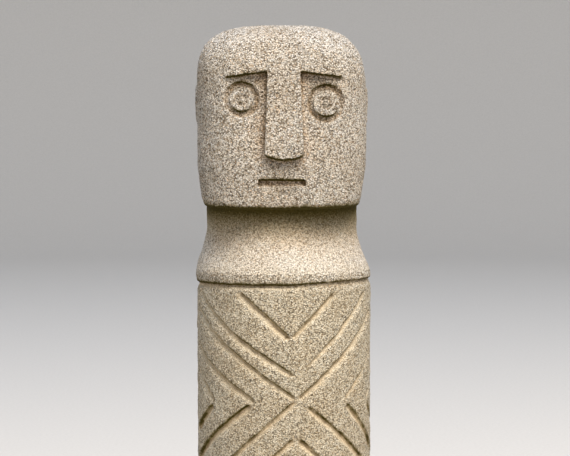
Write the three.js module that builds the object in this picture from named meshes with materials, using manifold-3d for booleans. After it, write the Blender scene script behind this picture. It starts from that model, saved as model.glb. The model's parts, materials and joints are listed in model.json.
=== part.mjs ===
// A carved stone post figure. A round post with chiselled lozenges stands on its flat underside and carries,
// above a scooped neck, a squared head with a brow ledge, ring eyes, a bar nose, a slit mouth and low ears.
// It is one stone, so it is one solid. Millimetres, +Z up, the face looks along -Y, and the origin is the
// centre of the underside. Angles go round the post in degrees from the front, positive towards +X.

import * as THREE from "three";
import { mergeVertices } from "three/addons/utils/BufferGeometryUtils.js";
import Module from "manifold-3d";

// Overall sizes.
const HEIGHT = 310;
const POST_RADIUS = 50;
const SEGMENTS = 48;

// The post and its two ring grooves.
const FOOT_EDGE = 2.5;
const LOWER_RING = 35;
const UPPER_RING = 163;
const RING_LEAN = 1.15;
const SHOULDER_RADIUS = 50.5;
const SHOULDER_START = 168;
const SHOULDER_TOP = 178;

// The neck: narrower from front to back than from side to side.
const NECK_WAIST = 195;
const NECK_SIDE = 43.3;
const NECK_FRONT = 38;
const NECK_BACK = 41;

// The head: a rounded block. It sits a little to the figure's right, and its crown leans further that way.
const CHIN = 207.5;
const CHIN_SAG = 1.6;
const CHEEK = 230;
const CROWN_START = 270;
const HEAD_SIDE = 48.7;
const HEAD_FRONT = 48;
const HEAD_BACK = 47;
const HEAD_SQUARENESS = 3.2;
const CROWN_POWER = 3.25;
const HEAD_SHIFT = -1.3;
const CROWN_LEAN = -1.5;

// The face. Points are x and z on the front of the head, for the figure's left; depth is how far the cut goes in.
const BROW_INNER = { x: 10.5, z: 283.5, depth: 4.5 };
const BROW_OUTER = { x: 33.5, z: 280, depth: 0.8 };
const SOCKET_FADE = { x: 22, z: 240, depth: 0.3 };
const NOSE = { rootHalf: 10, tipHalf: 11.2, root: 286, tip: 237.3, tipDrop: 2.8, proud: 4.2 };
const MOUTH = { x: -1, z: 221.3, width: 26.4, height: 3, depth: 2.4 };
const EYES = [
  { x: -23.6, z: 267.8, radius: 8.2 },
  { x: 23.4, z: 265.6, radius: 8.8 },
];
const EYE_GROOVE = 1.3;
const EARS = [
  { side: -1, x: 46.7, y: 8, z: 265 },
  { side: 1, x: 45.6, y: 12, z: 264 },
];
const EAR = { radius: 5, length: 14, flatness: 0.7 };

// The chiselled grooves: half their width, the bare margin that they leave beside a ring, and the length over
// which the tool lifts out at a groove's end, till it is clear of the stone by so many of its own radii.
const GROOVE_RADIUS = 2.3;
const RING_MARGIN = 2.5;
const TAPER = 9;
const CLEAR = 1.4;

// How finely the sweeps are faceted.
const GROOVE_STEP = 9;
const TOOL_SIDES = 6;

// The carved panels. Every chevron has its point at angle and z, and opens up, down, left or right. Its two arms
// climb or drop by so many millimetres a degree, and bow is how far an arm's middle stands off a straight line.
const CROSSING = { angle: 9, z: 99 };
const FRONT_CHEVRONS = [
  { angle: CROSSING.angle, z: CROSSING.z, opens: "up", left: 0.59, right: 0.72 },
  { angle: CROSSING.angle, z: CROSSING.z, opens: "down", left: 0.8, right: 0.69 },
  { angle: 8.5, z: 112.5, opens: "up", left: 0.58, right: 0.77, bow: 3.5 },
  { angle: 4, z: 133, opens: "up", left: 0.78, right: 0.87 },
  { angle: 8, z: 78.5, opens: "down", left: 0.95, right: 0.85 },
  { angle: 6, z: 59, opens: "down", left: 0.8, right: 0.85 },
  { angle: -19, z: 97.7, opens: "left", up: 0.49, down: 0.61 },
  { angle: -53, z: 95.5, opens: "left", up: 0.64, down: 0.66 },
  { angle: 43, z: 96.5, opens: "right", up: 0.74, down: 0.76 },
  { angle: 72, z: 95.6, opens: "right", up: 0.7, down: 0.7 },
];
const BACK_SLOPE = 0.7;
const BACK_STEP = { up: 17, down: 19, across: [30, 62] };

const wasm = await Module();
wasm.setup();

/** A closed three.js geometry as a solid. */
function solidOf(geometry) {
  const bare = geometry.clone();
  bare.deleteAttribute("normal");
  bare.deleteAttribute("uv");
  const merged = mergeVertices(bare, 1e-4);
  return new wasm.Manifold(
    new wasm.Mesh({
      numProp: 3,
      vertProperties: merged.attributes.position.array,
      triVerts: new Uint32Array(merged.index.array),
    }),
  );
}

/** A solid as a three.js geometry with flat faces. */
function geometryOf(solid) {
  const { vertProperties, triVerts } = solid.getMesh();
  const geometry = new THREE.BufferGeometry();
  geometry.setAttribute("position", new THREE.BufferAttribute(vertProperties, 3));
  geometry.setIndex(new THREE.BufferAttribute(triVerts, 1));
  const flat = geometry.toNonIndexed();
  flat.computeVertexNormals();
  return flat;
}

/** A smooth share from 0 to 1 as x goes from a to b. */
function ramp(a, b, x) {
  return THREE.MathUtils.smoothstep(x, a, b);
}

/** How far the figure stands to one side at a height. */
function leanAt(z) {
  return HEAD_SHIFT * ramp(UPPER_RING, SHOULDER_TOP, z) + CROWN_LEAN * ramp(CROWN_START, HEIGHT, z);
}

/** The front of the plain head at a height between the cheeks and the brow, some depth under its surface. */
function onFace({ x, z, depth = 0 }) {
  const rise = Math.max(z - CROWN_START, 0) / (HEIGHT - CROWN_START);
  const crown = (1 - rise ** CROWN_POWER) ** (1 / CROWN_POWER);
  const across = Math.abs((x - leanAt(z)) / (HEAD_SIDE * crown)) ** HEAD_SQUARENESS;
  const y = HEAD_FRONT * crown * (1 - across) ** (1 / HEAD_SQUARENESS);
  return new THREE.Vector3(x, depth - y, z);
}

/** The outline's sections from the underside to the crown: half widths to the side, front and back. */
function sections() {
  const list = [{ z: 0, side: 0, front: 0, back: 0, square: 2, sag: 0 }];
  const add = (z, side, front, back, square = 2, sag = 0) =>
    list.push({ z, side, front, back, square, sag });
  const round = (z, r) => add(z, r, r, r);

  for (const turn of [0, 30, 60, 90]) {
    const a = THREE.MathUtils.degToRad(turn);
    round(FOOT_EDGE * (1 - Math.cos(a)), POST_RADIUS - FOOT_EDGE * (1 - Math.sin(a)));
  }
  round((LOWER_RING + UPPER_RING) / 2, POST_RADIUS);
  round(UPPER_RING, POST_RADIUS);
  round(SHOULDER_START, SHOULDER_RADIUS);

  // The shoulder rolls over and the neck scoops in: one S curve, deeper at the front than at the sides.
  const scoop = 7;
  for (let i = 1; i <= scoop; i++) {
    const t = i / scoop;
    const z = THREE.MathUtils.lerp(SHOULDER_START, NECK_WAIST, t);
    const inward = ramp(0, 1, t ** 0.85);
    const to = (waist) => THREE.MathUtils.lerp(SHOULDER_RADIUS, waist, inward);
    add(z, to(NECK_SIDE), to(NECK_FRONT), to(NECK_BACK));
  }
  add(CHIN - 2, NECK_SIDE + 0.3, NECK_FRONT + 0.3, NECK_BACK + 0.3, 2.1);

  // The chin's ledge, its rounded lower edge, and the cheeks.
  add(CHIN - 0.8, 43.6, HEAD_FRONT - 3.4, HEAD_BACK - 3.5, 2.5, CHIN_SAG / 2);
  add(CHIN + 0.8, 44.7, HEAD_FRONT - 1.6, HEAD_BACK - 2, 2.7, CHIN_SAG);
  add(CHIN + 5, 46, HEAD_FRONT - 0.8, HEAD_BACK - 1, HEAD_SQUARENESS, CHIN_SAG);
  add(CHIN + 12, 47.3, HEAD_FRONT - 0.4, HEAD_BACK - 0.4, HEAD_SQUARENESS, CHIN_SAG / 2);
  add(CHEEK, HEAD_SIDE, HEAD_FRONT, HEAD_BACK, HEAD_SQUARENESS);
  add((CHEEK + CROWN_START) / 2, HEAD_SIDE, HEAD_FRONT, HEAD_BACK, HEAD_SQUARENESS);
  add(CROWN_START, HEAD_SIDE, HEAD_FRONT, HEAD_BACK, HEAD_SQUARENESS);

  // The crown closes as a superellipse.
  const crown = 7;
  for (let i = 1; i < crown; i++) {
    const turn = ((i / crown) * Math.PI) / 2;
    const rise = Math.sin(turn) ** (2 / CROWN_POWER);
    const width = Math.cos(turn) ** (2 / CROWN_POWER);
    const z = THREE.MathUtils.lerp(CROWN_START, HEIGHT, rise);
    add(z, HEAD_SIDE * width, HEAD_FRONT * width, HEAD_BACK * width, HEAD_SQUARENESS);
  }
  list.push({ z: HEIGHT, side: 0, front: 0, back: 0, square: 2, sag: 0 });
  return list;
}

/** The plain figure: a lathe whose rings are then drawn out to their sections. */
function plainFigure() {
  const list = sections();
  const profile = list.map((s) => new THREE.Vector2(s.side, s.z));
  const lathe = new THREE.LatheGeometry(profile, SEGMENTS).rotateX(Math.PI / 2);
  const at = lathe.attributes.position;
  for (let i = 0; i < at.count; i++) {
    const s = list[i % list.length];
    if (s.side === 0) {
      at.setXYZ(i, leanAt(s.z), 0, s.z);
      continue;
    }
    const turn = (Math.floor(i / list.length) / SEGMENTS) * 2 * Math.PI;
    const [across, ahead] = [Math.sin(turn), Math.cos(turn)];
    const depth = ahead > 0 ? s.front : s.back;
    const sum = Math.abs(across / s.side) ** s.square + Math.abs(ahead / depth) ** s.square;
    const r = sum ** (-1 / s.square);
    at.setXYZ(i, r * across + leanAt(s.z), -r * ahead, s.z - s.sag * Math.max(ahead, 0) ** 2);
  }
  return solidOf(lathe);
}

/**
 * A block behind or in front of a slanted flat face. The outline is x and z on the face, which is the plane, and
 * the block reaches so far forward from it, or backward where the reach is below zero.
 */
function slantedBlock(points, plane, reach) {
  const outline = new THREE.Shape(points.map(([x, z]) => new THREE.Vector2(x, z)));
  const block = new THREE.ExtrudeGeometry(outline, { depth: Math.abs(reach), bevelEnabled: false });
  block.rotateX(Math.PI / 2).translate(0, Math.max(-reach, 0), 0);
  const { x, y, z } = plane.normal;
  const lean = new THREE.Matrix4();
  lean.set(1, 0, 0, 0, -x / y, 1, -z / y, -plane.constant / y, 0, 0, 1, 0, 0, 0, 0, 1);
  return block.applyMatrix4(lean);
}

/** The same outline or point on the other side of the face. */
function mirrored(side, { x, ...rest }) {
  return { x: side * x, ...rest };
}

/** The floor of an eye socket, deepest at the root of the nose and running out over the cheek. */
function socketFloor(side) {
  const points = [BROW_INNER, BROW_OUTER, SOCKET_FADE].map((p) => onFace(mirrored(side, p)));
  return new THREE.Plane().setFromCoplanarPoints(...points);
}

/** One eye socket: a single flat chisel cut under the brow and beside the nose. */
function socket(side) {
  const reach = 15;
  const [low, wide] = [NOSE.tip - 10, BROW_OUTER.x + 8];
  const brow = (BROW_INNER.z - BROW_OUTER.z) / (BROW_OUTER.x - BROW_INNER.x);
  const points = [
    [side * (NOSE.rootHalf - 1), low],
    [side * wide, low],
    [side * wide, BROW_OUTER.z - brow * (wide - BROW_OUTER.x)],
    [side * BROW_INNER.x, BROW_INNER.z],
    [side * (NOSE.rootHalf - 1), BROW_INNER.z],
  ];
  return solidOf(slantedBlock(side > 0 ? points : points.reverse(), socketFloor(side), reach));
}

/** The nose: a flat bar that leaves the forehead flush and stands proud at its tip, with a bowed lower end. */
function nose() {
  const points = [
    [NOSE.tipHalf, NOSE.tip],
    [NOSE.rootHalf, NOSE.root],
    [-NOSE.rootHalf, NOSE.root],
    [-NOSE.tipHalf, NOSE.tip],
  ];
  const bow = 6;
  for (let i = 1; i < bow; i++) {
    const t = i / bow;
    const x = THREE.MathUtils.lerp(-NOSE.tipHalf, NOSE.tipHalf, t);
    points.push([x, NOSE.tip - NOSE.tipDrop * Math.sin(Math.PI * t)]);
  }
  const front = new THREE.Plane().setFromCoplanarPoints(
    onFace({ x: -NOSE.rootHalf, z: NOSE.root }),
    onFace({ x: NOSE.rootHalf, z: NOSE.root }),
    onFace({ x: 0, z: NOSE.tip, depth: -NOSE.proud }),
  );
  const buried = 16;
  return solidOf(slantedBlock(points, front, -buried));
}

/** The slit of the mouth. */
function mouth() {
  const reach = 10;
  const block = new THREE.BoxGeometry(MOUTH.width, reach, MOUTH.height);
  const floor = MOUTH.depth - HEAD_FRONT;
  return solidOf(block.translate(MOUTH.x, floor - reach / 2, MOUTH.z));
}

/** The ring that outlines an eye, cut into the socket's floor. */
function eyeRing({ x, z, radius }) {
  const { normal, constant } = socketFloor(Math.sign(x));
  const y = -(normal.x * x + normal.z * z + constant) / normal.y;
  const ring = new THREE.TorusGeometry(radius, EYE_GROOVE, TOOL_SIDES, 24);
  const turn = new THREE.Quaternion().setFromUnitVectors(new THREE.Vector3(0, 0, 1), normal);
  return solidOf(ring.applyQuaternion(turn).translate(x, y, z));
}

/** A low ear, an upright pad on the side of the head. */
function ear({ side, x, y, z }) {
  const pad = new THREE.CapsuleGeometry(EAR.radius, EAR.length, 4, 12).rotateX(Math.PI / 2);
  pad.scale(EAR.flatness, 1, 1);
  return solidOf(pad.translate(side * x + HEAD_SHIFT, y, z));
}

/** A straight stroke of the chisel in angle and height, wrapped round the post, with a bow at its middle. */
class Stroke extends THREE.Curve {
  constructor(from, to, bow = 0) {
    super();
    Object.assign(this, { from, to, bow });
    const arc = THREE.MathUtils.degToRad(to.angle - from.angle) * POST_RADIUS;
    this.run = Math.hypot(arc, to.z - from.z);
  }

  getPoint(t, target = new THREE.Vector3()) {
    const angle = THREE.MathUtils.degToRad(THREE.MathUtils.lerp(this.from.angle, this.to.angle, t));
    const z = THREE.MathUtils.lerp(this.from.z, this.to.z, t) + this.bow * Math.sin(Math.PI * t);
    const lift = CLEAR * GROOVE_RADIUS * ramp(this.run - TAPER, this.run, t * this.run);
    const r = POST_RADIUS + lift;
    return target.set(r * Math.sin(angle), -r * Math.cos(angle), z);
  }
}

/** The round-nosed chisel swept along a stroke. */
function grooveAlong(stroke) {
  const tool = new THREE.Shape().absarc(0, 0, GROOVE_RADIUS, 0, 2 * Math.PI);
  return solidOf(
    new THREE.ExtrudeGeometry(tool, {
      extrudePath: stroke,
      steps: Math.max(4, Math.round(stroke.run / GROOVE_STEP)),
      curveSegments: TOOL_SIDES / 2,
      bevelEnabled: false,
    }),
  );
}

/** How far an arm runs: to the side line where the panels meet, or to the bare margin beside a ring. */
function armFrom(point, slope, across, upward, sideLine, bow) {
  const ring = upward > 0 ? UPPER_RING - RING_MARGIN : LOWER_RING + RING_MARGIN;
  const toSide = Math.abs(sideLine - point.angle);
  const toRing = Math.abs(ring - point.z) / slope;
  const turn = Math.min(toSide, toRing);
  const end = { angle: point.angle + across * turn, z: point.z + upward * slope * turn };
  return new Stroke(point, end, bow);
}

/** A chevron's two arms, inside the side lines a quarter turn from the crossing. */
function chevron({ opens, bow = 0, left, right, up, down, ...point }, centre) {
  const sides = { left: centre - 90, right: centre + 90 };
  if (opens === "up" || opens === "down") {
    const upward = opens === "up" ? 1 : -1;
    return [
      armFrom(point, left, -1, upward, sides.left, bow),
      armFrom(point, right, 1, upward, sides.right, 0),
    ];
  }
  const across = opens === "left" ? -1 : 1;
  return [
    armFrom(point, up, across, 1, sides[opens], 0),
    armFrom(point, down, across, -1, sides[opens], 0),
  ];
}

/** The back panel: the same lozenges, even on both sides, and one chevron fewer above and below. */
function backChevrons(centre) {
  const { z } = CROSSING;
  const even = { left: BACK_SLOPE, right: BACK_SLOPE, up: BACK_SLOPE, down: BACK_SLOPE };
  const list = [
    { angle: centre, z, opens: "up", ...even },
    { angle: centre, z, opens: "down", ...even },
    { angle: centre, z: z + BACK_STEP.up, opens: "up", ...even },
    { angle: centre, z: z - BACK_STEP.down, opens: "down", ...even },
  ];
  for (const step of BACK_STEP.across) {
    list.push({ angle: centre - step, z, opens: "left", ...even });
    list.push({ angle: centre + step, z, opens: "right", ...even });
  }
  return list;
}

/** A ring groove right round the post, leaning as it was scribed by hand. */
function ringGroove(z, lean) {
  const ring = new THREE.TorusGeometry(POST_RADIUS + 0.3, GROOVE_RADIUS, TOOL_SIDES, SEGMENTS);
  return solidOf(ring.rotateY(THREE.MathUtils.degToRad(-lean)).translate(0, 0, z));
}

/** Every groove of the post. */
function carving() {
  const back = CROSSING.angle + 180;
  const strokes = [
    ...FRONT_CHEVRONS.flatMap((c) => chevron(c, CROSSING.angle)),
    ...backChevrons(back).flatMap((c) => chevron(c, back)),
  ];
  const rings = [ringGroove(UPPER_RING, RING_LEAN), ringGroove(LOWER_RING, 0)];
  return wasm.Manifold.union([...strokes.map(grooveAlong), ...rings]);
}

/** The whole stone. */
function figure() {
  const head = plainFigure().subtract(wasm.Manifold.union([socket(-1), socket(1)]));
  const features = wasm.Manifold.union([nose(), ...EARS.map(ear)]);
  const cuts = wasm.Manifold.union([mouth(), ...EYES.map(eyeRing), carving()]);
  return head.add(features).subtract(cuts);
}

const stone = new THREE.MeshStandardMaterial({ color: 0xc9b89c, roughness: 0.95, metalness: 0 });
const statue = new THREE.Mesh(geometryOf(figure()), stone);
statue.name = "stone_statue";

const group = new THREE.Group();
group.add(statue);

export default group;
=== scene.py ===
"""A carved stone post figure, about 31 cm tall, standing on a pale studio floor.

It is one piece of coarse, granular stone. The stone is shaped the way a carver works it: the post, neck
and head are roughed out, the nose and ears are left standing, and every socket, ring and groove is cut with
a tool of its own shape. The worked stone is then roughened, pitted and sawn flat underneath, and last it is
given its finish. The face looks along -Y and the figure's left is +X. Sizes are millimetres until they
reach Blender.
"""

import json
import logging
import math
import random
from collections.abc import Callable, Iterable, Sequence
from dataclasses import dataclass, field
from enum import Enum

import bmesh
import bpy
import numpy as np
from mathutils import Matrix, Vector

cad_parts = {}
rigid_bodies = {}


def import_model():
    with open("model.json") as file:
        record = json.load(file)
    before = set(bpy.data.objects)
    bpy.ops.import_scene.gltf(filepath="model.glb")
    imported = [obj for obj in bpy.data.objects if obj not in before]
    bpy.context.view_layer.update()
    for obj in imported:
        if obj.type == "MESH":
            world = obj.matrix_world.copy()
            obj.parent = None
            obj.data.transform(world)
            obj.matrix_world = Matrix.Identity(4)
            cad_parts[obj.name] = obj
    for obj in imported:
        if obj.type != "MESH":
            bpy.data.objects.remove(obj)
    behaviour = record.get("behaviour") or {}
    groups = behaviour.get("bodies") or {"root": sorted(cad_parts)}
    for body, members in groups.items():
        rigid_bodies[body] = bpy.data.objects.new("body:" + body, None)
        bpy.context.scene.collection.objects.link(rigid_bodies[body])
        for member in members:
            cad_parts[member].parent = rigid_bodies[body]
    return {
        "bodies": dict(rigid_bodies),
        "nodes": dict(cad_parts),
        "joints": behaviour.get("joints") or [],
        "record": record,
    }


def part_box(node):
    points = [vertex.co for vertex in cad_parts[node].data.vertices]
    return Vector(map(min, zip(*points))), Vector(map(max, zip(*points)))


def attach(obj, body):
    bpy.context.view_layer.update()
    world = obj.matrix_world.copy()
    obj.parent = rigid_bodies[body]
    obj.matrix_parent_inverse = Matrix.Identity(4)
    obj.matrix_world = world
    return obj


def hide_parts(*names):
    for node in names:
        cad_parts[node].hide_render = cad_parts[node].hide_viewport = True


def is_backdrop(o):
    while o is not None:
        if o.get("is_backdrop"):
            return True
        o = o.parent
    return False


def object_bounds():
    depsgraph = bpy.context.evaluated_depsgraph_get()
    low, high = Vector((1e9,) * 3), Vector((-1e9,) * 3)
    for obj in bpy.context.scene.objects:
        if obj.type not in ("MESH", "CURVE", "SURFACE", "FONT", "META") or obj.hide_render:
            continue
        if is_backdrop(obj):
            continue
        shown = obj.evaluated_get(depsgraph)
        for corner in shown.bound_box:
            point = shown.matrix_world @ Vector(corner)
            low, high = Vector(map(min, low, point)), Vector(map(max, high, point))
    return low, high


LOG = logging.getLogger("stone_figure")
MM = 0.001
FAR = 100.0
NODE = "stone_statue"


class Side(Enum):
    """The figure's own sides, each with the sign of its x."""

    RIGHT = -1
    LEFT = 1


# ---------------------------------------------------------------- tools of the bench


def clear_selection() -> None:
    """Goes back to object mode with nothing selected."""
    active = bpy.context.view_layer.objects.active
    if active is not None and active.mode != "OBJECT":
        bpy.ops.object.mode_set(mode="OBJECT")
    bpy.ops.object.select_all(action="DESELECT")


def take(piece: bpy.types.Object) -> None:
    """Makes one object the only selected one, and the active one.

    Args:
        piece: The object to work on next.
    """
    clear_selection()
    piece.select_set(True)
    bpy.context.view_layer.objects.active = piece


def edit(piece: bpy.types.Object) -> None:
    """Opens a piece in edit mode with all of its mesh selected.

    Args:
        piece: The mesh object to open.
    """
    take(piece)
    bpy.ops.object.mode_set(mode="EDIT")
    bpy.ops.mesh.select_all(action="SELECT")


def close_edit(piece: bpy.types.Object, name: str | None = None) -> bpy.types.Object:
    """Turns the faces outwards, leaves edit mode and puts the object's place into its mesh.

    Args:
        piece: The object that is being edited.
        name: A new name for it, where it needs one.

    Returns:
        The same object, at the origin, unturned and unscaled.
    """
    bpy.ops.mesh.select_all(action="SELECT")
    bpy.ops.mesh.normals_make_consistent(inside=False)
    bpy.ops.object.mode_set(mode="OBJECT")
    bpy.ops.object.transform_apply(location=True, rotation=True, scale=True)
    if name:
        piece.name = piece.data.name = name
    return piece


def pick_vertices(piece: bpy.types.Object, wanted: Callable[[Vector], bool]) -> None:
    """In edit mode, selects the vertices that a test of their place accepts, and nothing else.

    Args:
        piece: The object in edit mode.
        wanted: The test, which takes a vertex's place in the object.
    """
    bpy.ops.mesh.select_mode(type="VERT")
    bpy.ops.mesh.select_all(action="DESELECT")
    mesh = bmesh.from_edit_mesh(piece.data)
    for vertex in mesh.verts:
        vertex.select_set(wanted(vertex.co))
    mesh.select_flush(True)
    bmesh.update_edit_mesh(piece.data)


def turn(angle: float, axis: str, centre: Sequence[float]) -> None:
    """Turns the selection by the right-hand rule, about a world axis through a point.

    Args:
        angle: The angle in radians.
        axis: X, Y or Z.
        centre: The point that stays in place, in metres.
    """
    bpy.ops.transform.rotate(value=-angle, orient_axis=axis, center_override=tuple(centre))


def apply_modifier(piece: bpy.types.Object, kind: str, **settings: object) -> None:
    """Adds a modifier, sets it and applies it.

    Args:
        piece: The mesh object.
        kind: The modifier's type.
        **settings: Its properties.
    """
    take(piece)
    modifier = piece.modifiers.new(kind.title(), kind)
    for key, value in settings.items():
        setattr(modifier, key, value)
    bpy.ops.object.modifier_apply(modifier=modifier.name)


def cut_or_join(stone: bpy.types.Object, tool: bpy.types.Object, operation: str) -> None:
    """Takes a tool's shape out of the stone, or adds it, and puts the tool away.

    Args:
        stone: The closed mesh to change.
        tool: The closed mesh to take out or to add.
        operation: DIFFERENCE or UNION.
    """
    apply_modifier(stone, "BOOLEAN", operation=operation, object=tool, solver="MANIFOLD")
    mesh = tool.data
    bpy.data.objects.remove(tool)
    bpy.data.meshes.remove(mesh)


def box_between(name: str, corners: dict[tuple[int, int, int], Sequence[float]]) -> bpy.types.Object:
    """Adds a cube and pulls each of its corners to a place of its own.

    Args:
        name: The new object's name.
        corners: For each corner, as signs of x, y and z, its place in metres.

    Returns:
        The box, closed and facing outwards.
    """
    clear_selection()
    bpy.ops.mesh.primitive_cube_add(size=2)
    box = bpy.context.object
    edit(box)
    # The corners start far apart, so that one that has been pulled home is never picked again.
    bpy.ops.transform.resize(value=(FAR, FAR, FAR), center_override=(0, 0, 0))
    home = {sign: Vector(sign) * FAR for sign in corners}
    for sign, place in corners.items():
        pick_vertices(box, lambda co, at=home[sign]: (co - at).length < 1)
        bpy.ops.transform.translate(value=Vector(place) - home[sign])
    return close_edit(box, name)


# ---------------------------------------------------------------- roughing out


@dataclass(frozen=True)
class Section:
    """One level section of the figure: its height, half widths and centre, in millimetres."""

    z: float
    side: float
    front: float
    back: float
    shift: float = 0.0

    @property
    def depth(self) -> float:
        """Half of its size from front to back."""
        return (self.front + self.back) / 2

    @property
    def centre(self) -> Vector:
        """Its centre, in metres."""
        return Vector((self.shift, (self.back - self.front) / 2, self.z)) * MM


def raise_sections(sections: Sequence[Section]) -> None:
    """In edit mode, extrudes the selected face up through a row of sections.

    Args:
        sections: The sections, the first of which is the face itself.
    """
    for last, here in zip(sections, sections[1:]):
        bpy.ops.mesh.extrude_region_move(TRANSFORM_OT_translate={"value": here.centre - last.centre})
        factor = (here.side / last.side, here.depth / last.depth, 1)
        bpy.ops.transform.resize(value=factor, center_override=tuple(here.centre))


def ease(a: float, b: float, x: float) -> float:
    """A smooth share from 0 to 1 as x goes from a to b."""
    t = min(max((x - a) / (b - a), 0.0), 1.0)
    return t * t * (3 - 2 * t)


def blend(a: float, b: float, t: float) -> float:
    """The value a share t of the way from a to b."""
    return a + (b - a) * t


@dataclass
class Post:
    """The round post, its rolled shoulder and the neck that scoops in above it."""

    radius: float = 49.9
    foot_edge: float = 2.5
    ring: float = 163.0
    shoulder: float = 50.25
    shoulder_start: float = 167.5
    neck_waist: float = 195.0
    neck_top: float = 214.0
    neck_side: float = 43.3
    neck_front: float = 38.0
    neck_back: float = 41.0
    shift: float = -1.3
    shift_at_shoulder: float = 0.35
    scoop_steps: int = 14
    scoop_lead: float = 0.85
    edge_steps: int = 3
    sides: int = 128
    saw_allowance: float = 2.0

    def sections(self) -> list[Section]:
        """Plans the post and the neck.

        Returns:
            The sections from under the saw cut up into the head.
        """
        rows = [Section(-self.saw_allowance, *[self.radius - self.foot_edge] * 3)]
        for i in range(self.edge_steps + 1):
            a = math.radians(90 / self.edge_steps * i)
            r = self.radius - self.foot_edge * (1 - math.sin(a))
            rows.append(Section(self.foot_edge * (1 - math.cos(a)), r, r, r))
        rows.append(Section(self.ring, *[self.radius] * 3))
        low_shift = self.shift * self.shift_at_shoulder
        rows.append(Section(self.shoulder_start, *[self.shoulder] * 3, low_shift))
        waists = (self.neck_side, self.neck_front, self.neck_back)
        for i in range(1, self.scoop_steps + 1):
            t = i / self.scoop_steps
            z = blend(self.shoulder_start, self.neck_waist, t)
            inward = ease(0, 1, t**self.scoop_lead)
            shift = blend(low_shift, self.shift, ease(0, 0.5, t))
            rows.append(Section(z, *[blend(self.shoulder, waist, inward) for waist in waists], shift))
        rows.append(Section(self.neck_top, self.neck_side, self.neck_front, self.neck_back, self.shift))
        return rows

    def build(self) -> bpy.types.Object:
        """Raises the post and neck from a circle.

        Returns:
            The post as one closed mesh.
        """
        rows = self.sections()
        clear_selection()
        bpy.ops.mesh.primitive_circle_add(
            vertices=self.sides, radius=rows[0].side * MM, fill_type="NGON", location=rows[0].centre
        )
        post = bpy.context.object
        edit(post)
        raise_sections(rows)
        return close_edit(post, "post")


@dataclass
class Head:
    """The squared head: a block with rounded corners, a level chin and a domed crown."""

    side: float = 48.0
    front: float = 47.7
    back: float = 46.8
    corner: float = 30.0
    corner_steps: int = 14
    chin: float = 209.2
    chin_slope: float = 4.0
    chin_roll: tuple[tuple[float, float, float], ...] = (
        (0.0, 4.1, 3.4),
        (0.7, 3.7, 2.2),
        (1.8, 3.4, 1.5),
        (5.0, 2.6, 0.9),
        (12.0, 1.3, 0.4),
    )
    cheek: float = 230.0
    crown_start: float = 270.0
    top: float = 309.8
    crown_power: float = 3.25
    crown_steps: int = 16
    shift: float = -1.3
    crown_lean: float = -1.5

    def lean(self, z: float) -> float:
        """How far the head's centre stands to the figure's right at a height, as x."""
        return self.shift + self.crown_lean * ease(self.crown_start, self.top, z)

    def sections(self) -> list[Section]:
        """Plans the plain head.

        Returns:
            The sections from the chin's ledge to the crown.
        """
        rows = []
        for rise, side_in, front_in in self.chin_roll:
            front, back = self.front - front_in, self.back - front_in
            rows.append(Section(self.chin + rise, self.side - side_in, front, back, self.shift))
        for z in (self.cheek, self.crown_start):
            rows.append(Section(z, self.side, self.front, self.back, self.shift))
        for i in range(1, self.crown_steps):
            a = (i / self.crown_steps) * math.pi / 2
            z = blend(self.crown_start, self.top, math.sin(a) ** (2 / self.crown_power))
            size = math.cos(a) ** (2 / self.crown_power)
            rows.append(Section(z, self.side * size, self.front * size, self.back * size, self.lean(z)))
        return rows

    def build(self) -> bpy.types.Object:
        """Raises the head from a plane with rounded corners, and slopes the chin down to the front.

        Returns:
            The plain head as one closed mesh.
        """
        rows = self.sections()
        first = rows[0]
        clear_selection()
        bpy.ops.mesh.primitive_plane_add(size=2 * self.side * MM, location=first.centre)
        head = bpy.context.object
        edit(head)
        bpy.ops.mesh.bevel(
            offset=self.corner * MM, segments=self.corner_steps, profile=0.5, affect="VERTICES"
        )
        bpy.ops.mesh.select_all(action="SELECT")
        fit = (first.side / self.side, first.depth / self.side, 1)
        bpy.ops.transform.resize(value=fit, center_override=tuple(first.centre))
        raise_sections(rows)
        floor_of_cheek = (self.cheek - self.chin) * MM / 2
        pick_vertices(head, lambda co: co.z < floor_of_cheek)
        turn(math.radians(self.chin_slope), "X", first.centre)
        return close_edit(head, "head")


# ---------------------------------------------------------------- the face


@dataclass(frozen=True)
class Eye:
    """One ring eye: where it lies on the face and how big its ring and pupil are, in millimetres."""

    x: float
    z: float
    ring: float
    pupil: float


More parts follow.
